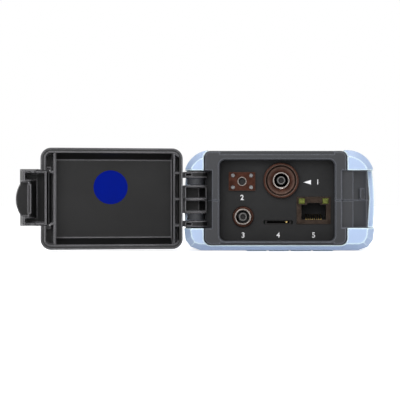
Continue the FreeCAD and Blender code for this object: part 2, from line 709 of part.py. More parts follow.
def cover_walls():
    """Cross walls of the hollow, ribs at the hinge and the supports of the latch pin."""
    rim = RIM_T + SEAL_W + LIP_T
    floor_y = FACE_Y + COVER_FLOOR_T
    wall_y = (floor_y - 0.5, RIM_Y - WALL_DROP)
    walls = [box((x, x + TUB_WALL), wall_y, grown(COVER_Z, -rim - COVER_SLOPE / 9)) for x in TUB_X]
    rib_x = (COVER_X[0] + RIM_T + SEAL_W, TUB_X[0] + 0.1)
    arm_top = (ARM_Z[1] - ARM_WALL, ARM_Z[1])
    for z in (arm_top, around(MIDDLE_Z, CORE_WALL / 2), mirrored_z(arm_top)):
        walls.append(box(rib_x, wall_y, z))
    cheek_x = (TUB_X[1] + TUB_WALL - 0.1, LATCH_EDGE_X)
    for z in ((LATCH_Z[0], LATCH_Z[0] + LATCH_WALL), (LATCH_Z[1] - LATCH_WALL, LATCH_Z[1])):
        walls.append(box(cheek_x, wall_y, z))
    walls.append(box(cheek_x, (floor_y - 0.5, LATCH_SHELF_Y), LATCH_Z))
    lug_x = around(LATCH_PIN_X, LATCH_BARREL_R)
    lug_y = (floor_y - 0.5, LATCH_PIN_Y + LATCH_BARREL_R)
    for z in ((LATCH_Z[0] - CLEAR - 1.5, LATCH_Z[0] - CLEAR), (LATCH_Z[1] + CLEAR, LATCH_Z[1] + CLEAR + 1.5)):
        walls.append(box(lug_x, lug_y, z))
    return walls


def hinge_arms():
    """Two slotted arms and the cored middle knuckle with its rib."""
    outline = [
        (HINGE_X - 5.0, HINGE_Y - 2.3),
        (HINGE_X - 3.0, HINGE_Y - 7.6),
        (HINGE_X + 3.7, HINGE_Y - 8.4),
        (COVER_X[0] + 0.2, HINGE_Y - 9.3),
        (COVER_X[0] + 0.2, RIM_Y),
        (HINGE_X + 4.6, HINGE_Y - 3.0),
    ]
    core_inside = [
        (HINGE_X - 4.6, HINGE_Y + 9),
        (HINGE_X - 4.6, HINGE_Y),
        (HINGE_X - 4.3, HINGE_Y - 1.8),
        (HINGE_X - 2.4, HINGE_Y - 6.8),
        (HINGE_X + 3.5, HINGE_Y - 7.6),
        (COVER_X[0] - 0.7, HINGE_Y - 8.2),
        (COVER_X[0] - 0.7, HINGE_Y + 9),
    ]

    def knuckle(z):
        return rod_z(KNUCKLE_R, HINGE_X, HINGE_Y, z).fuse(prism_z(outline, z))

    arms = []
    for z in (ARM_Z, mirrored_z(ARM_Z)):
        slot_x = (ARM_SLOT_X, COVER_X[0] - 0.7)
        arms.append(knuckle(z).cut(box(slot_x, (HINGE_Y - 7.4, HINGE_Y + 9), grown(z, -ARM_WALL))))
    middle = knuckle(CORE_Z)
    half_rib = CORE_WALL / 2
    for z in ((CORE_Z[0] + CORE_WALL, MIDDLE_Z - half_rib), (MIDDLE_Z + half_rib, CORE_Z[1] - CORE_WALL)):
        middle = middle.cut(prism_z(core_inside, z))
    return arms + [middle]


def cover_parts():
    """Port cover with its seal, sticker and pins, swung open."""
    ring = seal_ring()
    latch_z = grown(LATCH_Z, CLEAR)
    latch_room = box((LATCH_EDGE_X, FAR), grown((FACE_Y, RIM_Y), 1), latch_z)
    lip_y = (FACE_Y - 1, FACE_Y + LATCH_LIP_T + 0.25)
    lip_room = box((LATCH_EDGE_X, FAR), lip_y, grown(LATCH_FLARE_Z, CLEAR))
    barrel_room = rod_z(LATCH_BARREL_R + CLEAR, LATCH_PIN_X, LATCH_PIN_Y, latch_z)
    skin = cover_skin().cut(cover_tub())
    skin = joined([skin] + [wall.cut(skin) for wall in cover_walls()])
    skin = less(skin, [ring, latch_room, lip_room, barrel_room])
    latch_pin = rod_z(LATCH_PIN_R, LATCH_PIN_X, LATCH_PIN_Y, grown(LATCH_Z, CLEAR + 1.5))
    skin = joined([skin] + hinge_arms()).cut(latch_pin)
    pin_z = (CORE_Z[1] - CORE_WALL, ARM_Z[1])
    pins = [rod_z(PIN_R, HINGE_X, HINGE_Y, z) for z in (pin_z, mirrored_z(pin_z))]
    keep("cover_shell", closed_to_open(less(skin, pins)))
    seal = ring.common(box((-FAR, FAR), (RIM_Y - SEAL_D, RIM_Y - 0.15), grown(COVER_Z, 1)))
    seal = seal.cut(box((LATCH_EDGE_X - 1, FAR), grown((FACE_Y, RIM_Y), 1), grown(LATCH_Z, CLEAR)))
    keep("cover_seal", closed_to_open(seal))
    keep("hinge_pins", closed_to_open(Part.makeCompound(pins)))
    keep("latch_pin", closed_to_open(latch_pin))
    floor_y = FACE_Y + COVER_FLOOR_T
    sticker = column(STICKER_SIDES, STICKER_R, 0, 0, (0, STICKER_T))
    sticker.rotate(vec(0, 0, 0), vec(1, 0, 0), -90)
    sticker.translate(vec(STICKER_X, floor_y, STICKER_Z))
    keep("cover_sticker", closed_to_open(sticker))


def latch():
    """Latch flap: an open cup on a barrel, with a thumb bay and tab, and a hook that grips the shelf."""
    outline = [
        (LATCH_PIN_X + 0.3, FACE_Y),
        (35.5, FACE_Y),
        (41.0, FACE_Y + 1.8),
        (42.6, FACE_Y + 5.0),
        (41.4, FRONT - 2.5),
        (38.3, FRONT + 6.0),
        (37.4, FRONT + 6.0),
        (SHELF_X + 0.35, FRONT + 2.6),
        (SHELF_X + 0.35, FRONT + 2.0),
        (34.2, FRONT + 2.0),
        (33.4, RIM_Y - CLEAR),
        (LATCH_PIN_X - 0.8, RIM_Y - CLEAR),
        (LATCH_PIN_X - 0.8, LATCH_PIN_Y),
        (LATCH_PIN_X + 0.3, LATCH_PIN_Y),
    ]
    hollow = [
        (LATCH_PIN_X + 1.7, FACE_Y + LATCH_T),
        (35.2, FACE_Y + LATCH_T),
        (40.0, FACE_Y + 3.0),
        (41.3, FACE_Y + 5.4),
        (40.3, FRONT - 2.9),
        (37.4, FRONT + 4.8),
        (37.4, FRONT + 9.0),
        (LATCH_PIN_X + 0.1, FRONT + 9.0),
        (LATCH_PIN_X + 0.1, LATCH_PIN_Y + LATCH_BARREL_R),
        (LATCH_PIN_X + 1.7, LATCH_PIN_Y),
    ]
    solid = prism_z(outline, LATCH_FLARE_Z)
    for edge, rim, outward in ((LATCH_FLARE_Z[0], LATCH_Z[0], -1), (LATCH_FLARE_Z[1], LATCH_Z[1], 1)):
        points = [(FACE_Y + 5.5, edge), (RIM_Y - CLEAR, rim), (FRONT + 7, rim)]
        points += [(FRONT + 7, edge + outward), (FACE_Y + 5.5, edge + outward)]
        solid = solid.cut(prism_x(points, (0, FAR)))
        beside_cover = (min(rim, rim + outward * 5), max(rim, rim + outward * 5))
        solid = solid.cut(box((0, LATCH_FLARE_X), (FACE_Y + LATCH_LIP_T, 0), beside_cover))
    bay = box((THUMB_X, FAR), (TAB_Y[1], 0), THUMB_Z)
    slot = box((THUMB_X, THUMB_SLOT_X), (FACE_Y + LATCH_T, TAB_Y[1] + 1), grown(THUMB_Z, -0.5))
    bay_block = box((THUMB_X - THUMB_WALL, FAR), ALL_Y, grown(THUMB_Z, THUMB_WALL))
    cup = solid.cut(prism_z(hollow, grown(LATCH_Z, -LATCH_WALL)))
    cup = joined([cup, solid.common(bay_block)])
    tab_room = box((THUMB_X, FAR), TAB_Y, grown(THUMB_Z, -0.6))
    tab = rod_y(TAB_R, TAB_X - TAB_R, MIDDLE_Z, TAB_Y).common(tab_room)
    barrel = rod_z(LATCH_BARREL_R, LATCH_PIN_X, LATCH_PIN_Y, LATCH_Z)
    hook_y = FRONT + SHELF_DEPTH
    hook = [
        (THUMB_X, hook_y - 1),
        (THUMB_X, hook_y + 2.3),
        (SHELF_X - 0.25, hook_y + 2.3),
        (SHELF_X - 0.25, hook_y + 1.7),
        (THUMB_X - THUMB_WALL, hook_y + 1.4),
        (THUMB_X - THUMB_WALL, hook_y - 1),
    ]
    flap = less(joined([cup, barrel]), [bay, slot])
    flap = joined([flap, tab.cut(slot), prism_z(hook, HOOK_Z)])
    flap = flap.cut(rod_z(LATCH_PIN_R + PIN_FIT, LATCH_PIN_X, LATCH_PIN_Y, (0, FAR)))
    released = swing(flap, LATCH_PIN_X, LATCH_PIN_Y, -LATCH_FREE_DEG)
    keep("latch_flap", closed_to_open(released))


# ---- screen and keys

PLAIN_KEYS = {"bar": (BAR, BAR_CUT), "square": (LOWER_KEY, LOWER_CUT)}


def key_list():
    """Name, outline, X and Y of every key."""
    return [
        ("key_menu", "bar", -KEY_PITCH, SOFT_ROW_Y),
        ("key_test", "bar", 0.0, SOFT_ROW_Y),
        ("key_esc", "bar", KEY_PITCH, SOFT_ROW_Y),
        ("key_ok", "centre", 0.0, NAV_Y),
        ("key_up", "near", 0.0, NAV_Y),
        ("key_down", "far", 0.0, NAV_Y),
        ("key_left", "left", 0.0, NAV_Y),
        ("key_right", "right", 0.0, NAV_Y),
        ("key_power", "square", -KEY_PITCH, LOWER_ROW_Y),
        ("key_light", "square", KEY_PITCH, LOWER_ROW_Y),
    ]


def nav_turn(kind):
    return {"right": 0, "far": 90, "left": 180, "near": 270}[kind]


def key_outline(kind, x, y, grow, z):
    """Upright solid over one key's outline, grown by a gap."""
    if kind in PLAIN_KEYS:
        size, cut = PLAIN_KEYS[kind]
        return cut_corner_z(around(x, size[0] / 2 + grow), around(y, size[1] / 2 + grow), cut + 0.5 * grow, z)
    if kind == "centre":
        return rod_z(OK_R + grow, x, y, z)
    wedge = prism_z([(0, 0), (40, 40 - 2 * NAV_SPLIT), (40, -40 + 2 * NAV_SPLIT)], z)
    wedge.translate(vec(1.9 - 1.4 * grow, 0, 0))
    band = column(8, NAV_R + grow, 0, 0, z).cut(column(8, NAV_INNER_R - grow, 0, 0, z))
    sector = swing(band.common(wedge), 0, 0, nav_turn(kind))
    sector.translate(vec(x, y, 0))
    return sector


def key_flange(kind, x, y):
    """Flange under the deck that keeps the key in: a plate, an octagon, or a tab under a sector."""
    z = (KEY_FLANGE_Z, KEY_FLANGE_Z + KEY_FLANGE_T)
    if kind in PLAIN_KEYS:
        size = PLAIN_KEYS[kind][0]
        return box(around(x, size[0] / 2 + 0.7), around(y, size[1] / 2 + 0.7), z)
    if kind == "centre":
        return column(8, OK_R + 1.1, x, y, z)
    tab = box((NAV_INNER_R - 0.5, NAV_R + 0.7), (-4.6, 4.6), z)
    tab = swing(tab, 0, 0, nav_turn(kind))
    tab.translate(vec(x, y, 0))
    return tab


def screen_and_keys():
    lens_z = DECK_TOP - LENS_DROP - LENS_T
    keep("screen_lens", rounded_z(grown(LENS_X, 0), LENS_Y, LENS_R - 0.15, (lens_z, lens_z + LENS_T)))
    under_deck = DECK_TOP - DECK_T
    keep("display_module", box(DISPLAY_X, DISPLAY_Y, (under_deck - DISPLAY_T, under_deck)))
    for name, kind, x, y in key_list():
        cap = key_outline(kind, x, y, 0.0, (KEY_FLANGE_Z, KEY_TOP))
        keep(name, cap.fuse(key_flange(kind, x, y)))
    mat_top = KEY_FLANGE_Z - 1.0
    tray = box(grown(MAT_X, -1), grown(MAT_Y, -1), (mat_top, FAR))
    keep("keypad_mat", box(MAT_X, MAT_Y, (mat_top - MAT_T, under_deck)).cut(tray))


# ---- inside and back

def inner_parts():
    """Boards, optics and battery inside the housing."""
    floor = BASE + BOOT_T + SHELL_T
    keep("main_board", box(BOARD_X, BOARD_Y, BOARD_Z))
    keep("port_board", box((-27, 25), PORT_BOARD_Y, (9.0, 25.9)))
    keep("optical_module", box(OPTICS_X, OPTICS_Y, (floor, floor + OPTICS_H)))
    half = TRAY_HALF
    outside = box(around(COIL_X, half), around(COIL_Y, half), (floor, floor + TRAY_H))
    inside = box(around(COIL_X, half - 1), around(COIL_Y, half - 1), (floor + 1, floor + TRAY_H + 1))
    keep("fibre_tray", outside.cut(inside))
    coil_z = (floor + 1, floor + 4)
    wound, core = [column(SPOOL_SIDES, radius, COIL_X, COIL_Y, coil_z) for radius in (COIL_R[1], COIL_R[0])]
    keep("fibre_coil", wound.cut(core))
    keep("battery_pack", box(grown(BAY_X, -2), grown(BAY_Y, -2), (COVER_PLATE_Z[1], PACK_TOP)))


def stand_pin_ends():
    reach = STAND_X[1] + STAND_PIN_OVER
    return vec(-reach, STAND_HINGE_Y, STAND_HINGE_Z), vec(reach, STAND_HINGE_Y, STAND_HINGE_Z)


def back_parts():
    """Battery cover, case screws, folding stand and its pin."""
    keep("battery_cover", cut_corner_z(BAY_X, BAY_Y, BAY_CUT, COVER_PLATE_Z))
    screws = []
    for x, y in SCREW_SPOTS:
        screws.append(column(6, HEAD_R, x, y, HEAD_Z).fuse(column(8, SCREW_R, x, y, (HEAD_Z[1], SCREW_TIP))))
    keep("case_screws", Part.makeCompound(screws))
    plate = cut_corner_z(STAND_X, (STAND_HINGE_Y, STAND_END_Y), STAND_BARREL_R, STAND_Z)
    plate = plate.cut(box(grown(STAND_X, -7), (STAND_HINGE_Y + 12, STAND_END_Y - 12), (0, 6)))
    start = vec(STAND_X[0], STAND_HINGE_Y, STAND_HINGE_Z)
    end = vec(STAND_X[1], STAND_HINGE_Y, STAND_HINGE_Z)
    stand = joined([plate, rod(STAND_BARREL_R, start, end)])
    keep("stand", stand.cut(rod(STAND_PIN_R + PIN_FIT, start, end)))
    keep("stand_pin", rod(STAND_PIN_R, *stand_pin_ends()))


def side_socket_rooms():
    """Holes in the shell's side wall for the charge and USB sockets."""
    reach = (30.0, FAR)
    jack = box(reach, around(JACK_Y, JACK_HALF), around(SOCKET_Z, JACK_HALF))
    return [jack, box(reach, USB_Y, around(SOCKET_Z, USB_HALF_Z))]


def side_sockets():
    """Charge and USB sockets behind the side flap."""
    bore_x = (SOCKET_X[0] + 2, FAR)
    jack = box((SOCKET_X[0], SOCKET_X[1]), around(JACK_Y, JACK_HALF), around(SOCKET_Z, JACK_HALF))
    jack = jack.cut(rod(JACK_BORE_R, vec(bore_x[0], JACK_Y, SOCKET_Z), vec(bore_x[1], JACK_Y, SOCKET_Z)))
    pin_x = (SOCKET_X[0] + 1, SOCKET_X[1] - 1)
    pin = box(pin_x, around(JACK_Y, JACK_PIN_HALF), around(SOCKET_Z, JACK_PIN_HALF))
    keep("charge_socket", jack.fuse(pin))
    shell = box(SOCKET_X, USB_Y, around(SOCKET_Z, USB_HALF_Z))
    shell = shell.cut(box(bore_x, grown(USB_Y, -USB_WALL), around(SOCKET_Z, USB_HALF_Z - USB_WALL)))
    tongue = box((SOCKET_X[0] + 1, SOCKET_X[1] - 1), grown(USB_Y, -2), around(SOCKET_Z, 0.35))
    keep("usb_socket", shell.fuse(tongue))


shells(housing_core())
boot()
port_panel()
otdr_port()
vfl_port()
opm_port()
rj45_port()
card_socket()
cover_parts()
latch()
screen_and_keys()
inner_parts()
back_parts()
side_sockets()

os.makedirs("parts", exist_ok=True)
for name, shape in NODES.items():
    shape.exportStep("parts/" + name + ".step")
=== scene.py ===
import json
import math

import bmesh
import bpy
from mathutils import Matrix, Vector


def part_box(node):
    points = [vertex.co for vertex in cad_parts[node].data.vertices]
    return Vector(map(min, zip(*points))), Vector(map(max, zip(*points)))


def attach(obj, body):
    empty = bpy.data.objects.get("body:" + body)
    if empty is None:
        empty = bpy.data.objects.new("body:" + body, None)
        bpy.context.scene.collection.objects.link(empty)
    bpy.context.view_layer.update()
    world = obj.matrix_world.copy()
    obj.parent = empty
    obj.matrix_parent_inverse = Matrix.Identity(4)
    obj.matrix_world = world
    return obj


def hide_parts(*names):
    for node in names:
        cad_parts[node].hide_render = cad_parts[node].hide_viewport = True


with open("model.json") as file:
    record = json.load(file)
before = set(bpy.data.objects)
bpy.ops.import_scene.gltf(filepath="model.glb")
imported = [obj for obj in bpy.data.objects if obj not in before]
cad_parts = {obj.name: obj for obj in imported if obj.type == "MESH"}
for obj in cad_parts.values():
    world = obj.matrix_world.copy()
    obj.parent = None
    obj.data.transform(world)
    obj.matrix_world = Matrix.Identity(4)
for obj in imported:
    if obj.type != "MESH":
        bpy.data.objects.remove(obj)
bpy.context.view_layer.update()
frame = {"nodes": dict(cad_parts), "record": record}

MM = 0.001
NODES = frame["nodes"]
RECORD = frame["record"]
SLOT_OF = {entry["node"]: entry["material_slot"] for entry in RECORD["subparts"]}
BASE_COLOUR = {entry["slot"]: tuple(entry["base_color"]) for entry in RECORD["materials"]}
BODY_OF = {node: body for body, nodes in RECORD["behaviour"]["bodies"].items() for node in nodes}


# ---------------------------------------------------------------- materials

# Cosine between the face and the rounded normal where the painted edge highlight starts, and where it is
# full.
HIGHLIGHT_START, HIGHLIGHT_FULL = 0.995, 0.92
METAL_EDGE_RADIUS = 0.00012

def new_material(name):
    """Empty material with a Principled shader wired to its output."""
    material = bpy.data.materials.new(name)
    material.use_nodes = True
    tree = material.node_tree
    tree.nodes.clear()
    output = tree.nodes.new("ShaderNodeOutputMaterial")
    shader = tree.nodes.new("ShaderNodeBsdfPrincipled")
    tree.links.new(shader.outputs["BSDF"], output.inputs["Surface"])
    return material, tree, shader


def object_coordinates(tree, scale=(1.0, 1.0, 1.0)):
    """Object coordinates through a scaling Mapping node."""
    where = tree.nodes.new("ShaderNodeTexCoord")
    mapping = tree.nodes.new("ShaderNodeMapping")
    mapping.inputs["Scale"].default_value = scale
    tree.links.new(where.outputs["Object"], mapping.inputs["Vector"])
    return mapping.outputs["Vector"]


def noise(tree, vector, scale, detail=3.0, roughness=0.55):
    """Fractal noise value at a vector."""
    node = tree.nodes.new("ShaderNodeTexNoise")
    node.inputs["Scale"].default_value = scale
    node.inputs["Detail"].default_value = detail
    node.inputs["Roughness"].default_value = roughness
    tree.links.new(vector, node.inputs["Vector"])
    return node.outputs["Fac"]


def remap(tree, value, low, high, new_low, new_high):
    """Value carried from one range to another, clamped."""
    node = tree.nodes.new("ShaderNodeMapRange")
    node.inputs["From Min"].default_value = low
    node.inputs["From Max"].default_value = high
    node.inputs["To Min"].default_value = new_low
    node.inputs["To Max"].default_value = new_high
    tree.links.new(value, node.inputs["Value"])
    return node.outputs["Result"]


def math_node(tree, operation, first, second):
    """Maths on two values, each a socket or a number."""
    node = tree.nodes.new("ShaderNodeMath")
    node.operation = operation
    for socket, value in zip(node.inputs, (first, second)):
        if isinstance(value, (int, float)):
            socket.default_value = value
        else:
            tree.links.new(value, socket)
    return node.outputs[0]


def blend_colours(tree, factor, first, second):
    """Mix of two colours, each a socket or three numbers."""
    node = tree.nodes.new("ShaderNodeMix")
    node.data_type = "RGBA"
    for name, colour in (("A", first), ("B", second)):
        if isinstance(colour, tuple):
            node.inputs[name].default_value = (*colour[:3], 1.0)
        else:
            tree.links.new(colour, node.inputs[name])
    tree.links.new(factor, node.inputs["Factor"])
    return node.outputs["Result"]


def rounded_edges(tree, radius):
    """Normal that turns smoothly over an edge, and how near an edge the point is, 0 to 1."""
    bevel = tree.nodes.new("ShaderNodeBevel")
    bevel.samples = 6
    bevel.inputs["Radius"].default_value = radius
    surface = tree.nodes.new("ShaderNodeNewGeometry")
    dot = tree.nodes.new("ShaderNodeVectorMath")
    dot.operation = "DOT_PRODUCT"
    tree.links.new(bevel.outputs["Normal"], dot.inputs[0])
    tree.links.new(surface.outputs["True Normal"], dot.inputs[1])
    return bevel.outputs["Normal"], remap(tree, dot.outputs["Value"], HIGHLIGHT_START, HIGHLIGHT_FULL, 0.0, 1.0)


def bump(tree, shader, height, strength, distance, normal=None):
    """Relief on the shader's normal, over a given normal if there is one."""
    node = tree.nodes.new("ShaderNodeBump")
    node.inputs["Strength"].default_value = strength
    node.inputs["Distance"].default_value = distance
    tree.links.new(height, node.inputs["Height"])
    if normal is not None:
        tree.links.new(normal, node.inputs["Normal"])
    tree.links.new(node.outputs["Normal"], shader.inputs["Normal"])


def tinted(colour, red, green, blue):
    """Colour with each channel scaled by its own factor."""
    return colour[0] * red, colour[1] * green, colour[2] * blue


def shade(colour, factor):
    """Colour with all channels scaled alike and held at 1."""
    return tuple(min(1.0, channel * factor) for channel in colour[:3])


def moulded(name, colour, rough=0.5, grain=2600.0, grain_depth=0.00003, spread=0.12, edge=1.0,
            edge_radius=0.0003, gloss=0.5, sheen=0.0, rim=None):
    """Moulded plastic or rubber: spark-eroded grain, mottling, uneven gloss and a painted highlight along
    edges and inner corners.
    """
    material, tree, shader = new_material(name)
    vector = object_coordinates(tree)
    mottle = noise(tree, vector, 55.0, 4.0)
    fine = noise(tree, vector, grain, 2.0)
    tint = blend_colours(
        tree, remap(tree, mottle, 0.3, 0.7, 0.0, 1.0), shade(colour, 1 - spread), shade(colour, 1 + spread)
    )
    normal, nearness = rounded_edges(tree, edge_radius)
    # Painted highlight: edges and inner corners are lightened towards the edge colour, broken up by the
    # mottling.
    edge_highlight = math_node(tree, "MULTIPLY", nearness, remap(tree, mottle, 0.25, 0.6, 0.65, 1.0))
    tint = blend_colours(tree, edge_highlight, tint, rim or shade(colour, edge))
    tree.links.new(tint, shader.inputs["Base Color"])
    tree.links.new(remap(tree, mottle, 0.3, 0.7, rough - 0.06, rough + 0.06), shader.inputs["Roughness"])
    shader.inputs["Specular IOR Level"].default_value = gloss
    shader.inputs["Sheen Weight"].default_value = sheen
    bump(tree, shader, fine, 0.5, grain_depth, normal)
    return material


def turned_metal(name, colour, rough=0.3, streak=(900.0, 9000.0, 900.0), depth=0.00001, rim=None):
    """Machined metal: fine tool lines, slight staining and a painted highlight along its edges."""
    material, tree, shader = new_material(name)
    lines = noise(tree, object_coordinates(tree, streak), 1.0, 3.0)
    stain = noise(tree, object_coordinates(tree), 420.0, 4.0)
    tint = blend_colours(
        tree, remap(tree, stain, 0.35, 0.65, 0.0, 1.0), shade(colour, 0.7), shade(colour, 1.2)
    )
    normal, nearness = rounded_edges(tree, METAL_EDGE_RADIUS)
    # Painted highlight: edges take the rim colour, brighter than the metal where a rim is given.
    tint = blend_colours(tree, nearness, tint, rim or colour)
    tree.links.new(tint, shader.inputs["Base Color"])
    tree.links.new(remap(tree, lines, 0.3, 0.7, rough - 0.08, rough + 0.1), shader.inputs["Roughness"])
    shader.inputs["Metallic"].default_value = 1.0
    bump(tree, shader, lines, 0.4, depth, normal)
    return material


def screen_glass(colour):
    """Cover glass: black printed border round a slightly paler display."""
    material, tree, shader = new_material("screen_glass")
    vector = object_coordinates(tree)
    low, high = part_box("screen_lens")
    border = 4.5 * MM
    parts = tree.nodes.new("ShaderNodeSeparateXYZ")
    tree.links.new(vector, parts.inputs["Vector"])
    inside = None
    for axis in (0, 1):
        middle = (low[axis] + high[axis]) / 2
        reach = (high[axis] - low[axis]) / 2 - border
        offset = math_node(tree, "SUBTRACT", parts.outputs[axis], middle)
        distance = math_node(tree, "ABSOLUTE", offset, 0.0)
        within = remap(tree, distance, reach, reach + 0.1 * MM, 1.0, 0.0)
        inside = within if inside is None else math_node(tree, "MULTIPLY", inside, within)
    haze = noise(tree, vector, 40.0, 3.0)
    panel = blend_colours(tree, haze, (0.030, 0.036, 0.040), (0.038, 0.046, 0.052))
    tint = blend_colours(tree, inside, shade(colour, 0.4), panel)
    tree.links.new(tint, shader.inputs["Base Color"])
    tree.links.new(remap(tree, haze, 0.3, 0.7, 0.16, 0.24), shader.inputs["Roughness"])
    shader.inputs["IOR"].default_value = 1.22
    shader.inputs["Specular IOR Level"].default_value = 0.3
    return material


def light_pipe(colour):
    """Clouded light pipe, darker along its edges."""
    material, tree, shader = new_material("light_pipe")
    vector = object_coordinates(tree)
    cloud = noise(tree, vector, 700.0, 2.0)
    depth = remap(tree, cloud, 0.35, 0.65, 0.0, 1.0)
    tint = blend_colours(tree, depth, shade(colour, 0.14), shade(colour, 0.34))
    normal, nearness = rounded_edges(tree, 0.0004)
    tree.links.new(blend_colours(tree, nearness, tint, shade(colour, 0.3)), shader.inputs["Base Color"])
    shader.inputs["Roughness"].default_value = 0.4
    shader.inputs["Specular IOR Level"].default_value = 0.06
    bump(tree, shader, cloud, 0.3, 0.00002, normal)
    return material


# edge and rim give the colour of the painted highlight along edges: edge scales the base colour, rim replaces
# it.
FINISHES = {
    "housing_grey": lambda c: moulded(
        "housing_grey", tinted(c, 0.155, 0.163, 0.175), rough=0.5, edge=6.0, edge_radius=0.0009, gloss=0.25
    ),
    # The cover's rim colour, well above its base, is a painted highlight on its wall tops and rims.
    "cover_grey": lambda c: moulded(
        "cover_grey", shade(c, 0.075), rough=0.45, edge_radius=0.0012, gloss=0.15, rim=(0.2, 0.196, 0.205)
    ),
    "boot_rubber": lambda c: moulded(
        "boot_rubber", tinted(c, 0.52, 0.63, 0.76), rough=0.4, grain=1800.0, spread=0.04, edge=2.6,
        edge_radius=0.0012, sheen=0.1
    ),
    "panel_black": lambda c: moulded("panel_black", shade(c, 0.11), rough=0.6, edge=2.0, gloss=0.2),
    "insert_black": lambda c: moulded("insert_black", shade(c, 0.22), rough=0.5, edge=1.6, gloss=0.08),
    "seal_black": lambda c: moulded("seal_black", c, rough=0.7, gloss=0.3, sheen=0.05),
    "key_grey": lambda c: moulded("key_grey", c, rough=0.55, edge=1.3, sheen=0.2),
    "key_blue": lambda c: moulded("key_blue", c, rough=0.55, edge=1.3, sheen=0.2),
    "key_red": lambda c: moulded("key_red", c, rough=0.55, edge=1.3, sheen=0.2),
    "port_ceramic": lambda c: moulded(
        "port_ceramic", shade(c, 0.1), rough=0.3, spread=0.04, edge=3.0, gloss=0.3
    ),
    "light_pipe": light_pipe,
    "sticker_blue": lambda c: moulded(
        "sticker_blue", tinted(c, 0.0, 0.3, 0.45), rough=0.6, spread=0.06, gloss=0.03
    ),
    "screen_glass": screen_glass,
    "board_green": lambda c: moulded("board_green", c, rough=0.35),
    "fibre_yellow": lambda c: moulded("fibre_yellow", c, rough=0.3),
    "battery_wrap": lambda c: moulded("battery_wrap", c, rough=0.35),
    "port_metal": lambda c: turned_metal(
        "port_metal", tinted(c, 0.07, 0.045, 0.042), rough=0.5, rim=(0.13, 0.1, 0.085)
    ),
    "bright_metal": lambda c: turned_metal(
        "bright_metal", tinted(c, 0.2, 0.18, 0.17), rough=0.35, rim=(0.55, 0.5, 0.47)
    ),
    "steel": lambda c: turned_metal("steel", shade(c, 0.15), rough=0.4, rim=shade(c, 0.7)),
    "gold": lambda c: turned_metal("gold", shade(c, 0.4), rough=0.35),
    # Module metal darkened to near black: painted shade, so the bores read dark where it shows behind them.
    "module_metal": lambda c: turned_metal("module_metal", shade(c, 0.08), rough=0.5),
}
MATERIAL = {slot: FINISHES[slot](colour) for slot, colour in BASE_COLOUR.items()}
PANEL_INK = moulded("panel_ink", (0.8, 0.8, 0.81), rough=0.6, spread=0.05)
# The shield plate's rim colour is a painted highlight along its edges.
SHIELD_PLATE = turned_metal("shield_plate", (0.02, 0.0145, 0.0115), rough=0.5, rim=(0.12, 0.1, 0.085))
# Near-black finish for painted shade: the disc down each bore and the card socket's slot.
SHADE_BLACK = moulded("painted_shade_black", (0.010, 0.009, 0.009), rough=0.5, gloss=0.15)

# The card socket takes the near-black finish as painted shade in its slot.
OWN_FINISH = {"rj45_shield": SHIELD_PLATE, "card_socket": SHADE_BLACK}


def dress_cad_nodes():
    """Give every CAD node its slot's material, or its own finish."""
    for name, node in NODES.items():
        node.data.materials.clear()
        node.data.materials.append(OWN_FINISH.get(name, MATERIAL[SLOT_OF[name]]))


dress_cad_nodes()


# ---------------------------------------------------------------- making pieces

def size_of(node):
    """Middle, lowest and highest corner of a CAD node."""
    low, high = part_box(node)
    return (low + high) / 2, low, high


def add_piece(name, data, body, slot, stands_for=(), material=None, smooth=35):
    """Link a finished mesh as a piece that rides on a body."""
    piece = bpy.data.objects.new(name, data)
    bpy.context.collection.objects.link(piece)
    data.materials.clear()
    data.materials.append(material or MATERIAL[slot])
    if smooth:
        data.polygons.foreach_set("use_smooth", [True] * len(data.polygons))
        data.set_sharp_from_angle(angle=math.radians(smooth))
    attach(piece, body)
    if stands_for:
        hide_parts(*stands_for)
    return piece


def finished(mesh, name):
    """Mesh data from a bmesh whose doubles are merged and whose faces point outwards."""
    bmesh.ops.remove_doubles(mesh, verts=mesh.verts, dist=1e-7)
    bmesh.ops.recalc_face_normals(mesh, faces=mesh.faces)
    data = bpy.data.meshes.new(name)
    mesh.to_mesh(data)
    mesh.free()
    return data


def merged_copy(node):
    """Copy of a CAD solid with its triangles joined into flat faces."""
    mesh = bmesh.new()
    mesh.from_mesh(NODES[node].data)
    bmesh.ops.remove_doubles(mesh, verts=mesh.verts, dist=1e-6)
    bmesh.ops.dissolve_limit(mesh, angle_limit=math.radians(0.5), verts=mesh.verts, edges=mesh.edges)
    return mesh


def turned_ring(profile, x, z, sides=72):
    """Closed ring turned about a line along Y, from (radius, y) points in millimetres."""
    mesh = bmesh.new()
    rings = []
    for index in range(sides):
        turn = 2 * math.pi * index / sides
        ring = [mesh.verts.new((x + r * MM * math.cos(turn), y * MM, z + r * MM * math.sin(turn)))
                for r, y in profile]
        rings.append(ring)
    for ring, following in zip(rings, rings[1:] + rings[:1]):
        for here in range(len(profile)):
            after = (here + 1) % len(profile)
            mesh.faces.new((ring[here], ring[after], following[after], following[here]))
    return mesh


def evaluated_mesh(source):
    """Plain mesh of an object with its modifiers worked out; the object is removed."""
    graph = bpy.context.evaluated_depsgraph_get()
    data = bpy.data.meshes.new_from_object(source.evaluated_get(graph))
    bpy.data.objects.remove(source)
    return data


def worked_object(name, data):
    """Helper object for modifiers; it is removed when they are worked out."""
    helper = bpy.data.objects.new(name, data)
    bpy.context.collection.objects.link(helper)
    return helper


def node_tree(name, inputs):
    """Geometry node tree with named inputs and one geometry output."""
    tree = bpy.data.node_groups.new(name, "GeometryNodeTree")
    tree.interface.new_socket(name="Geometry", in_out="INPUT", socket_type="NodeSocketGeometry")
    sockets = {}
    for label, kind in inputs:
        sockets[label] = tree.interface.new_socket(name=label, in_out="INPUT", socket_type=kind).identifier
    tree.interface.new_socket(name="Geometry", in_out="OUTPUT", socket_type="NodeSocketGeometry")
    source = tree.nodes.new("NodeGroupInput")
    result = tree.nodes.new("NodeGroupOutput")
    return tree, source, result, sockets


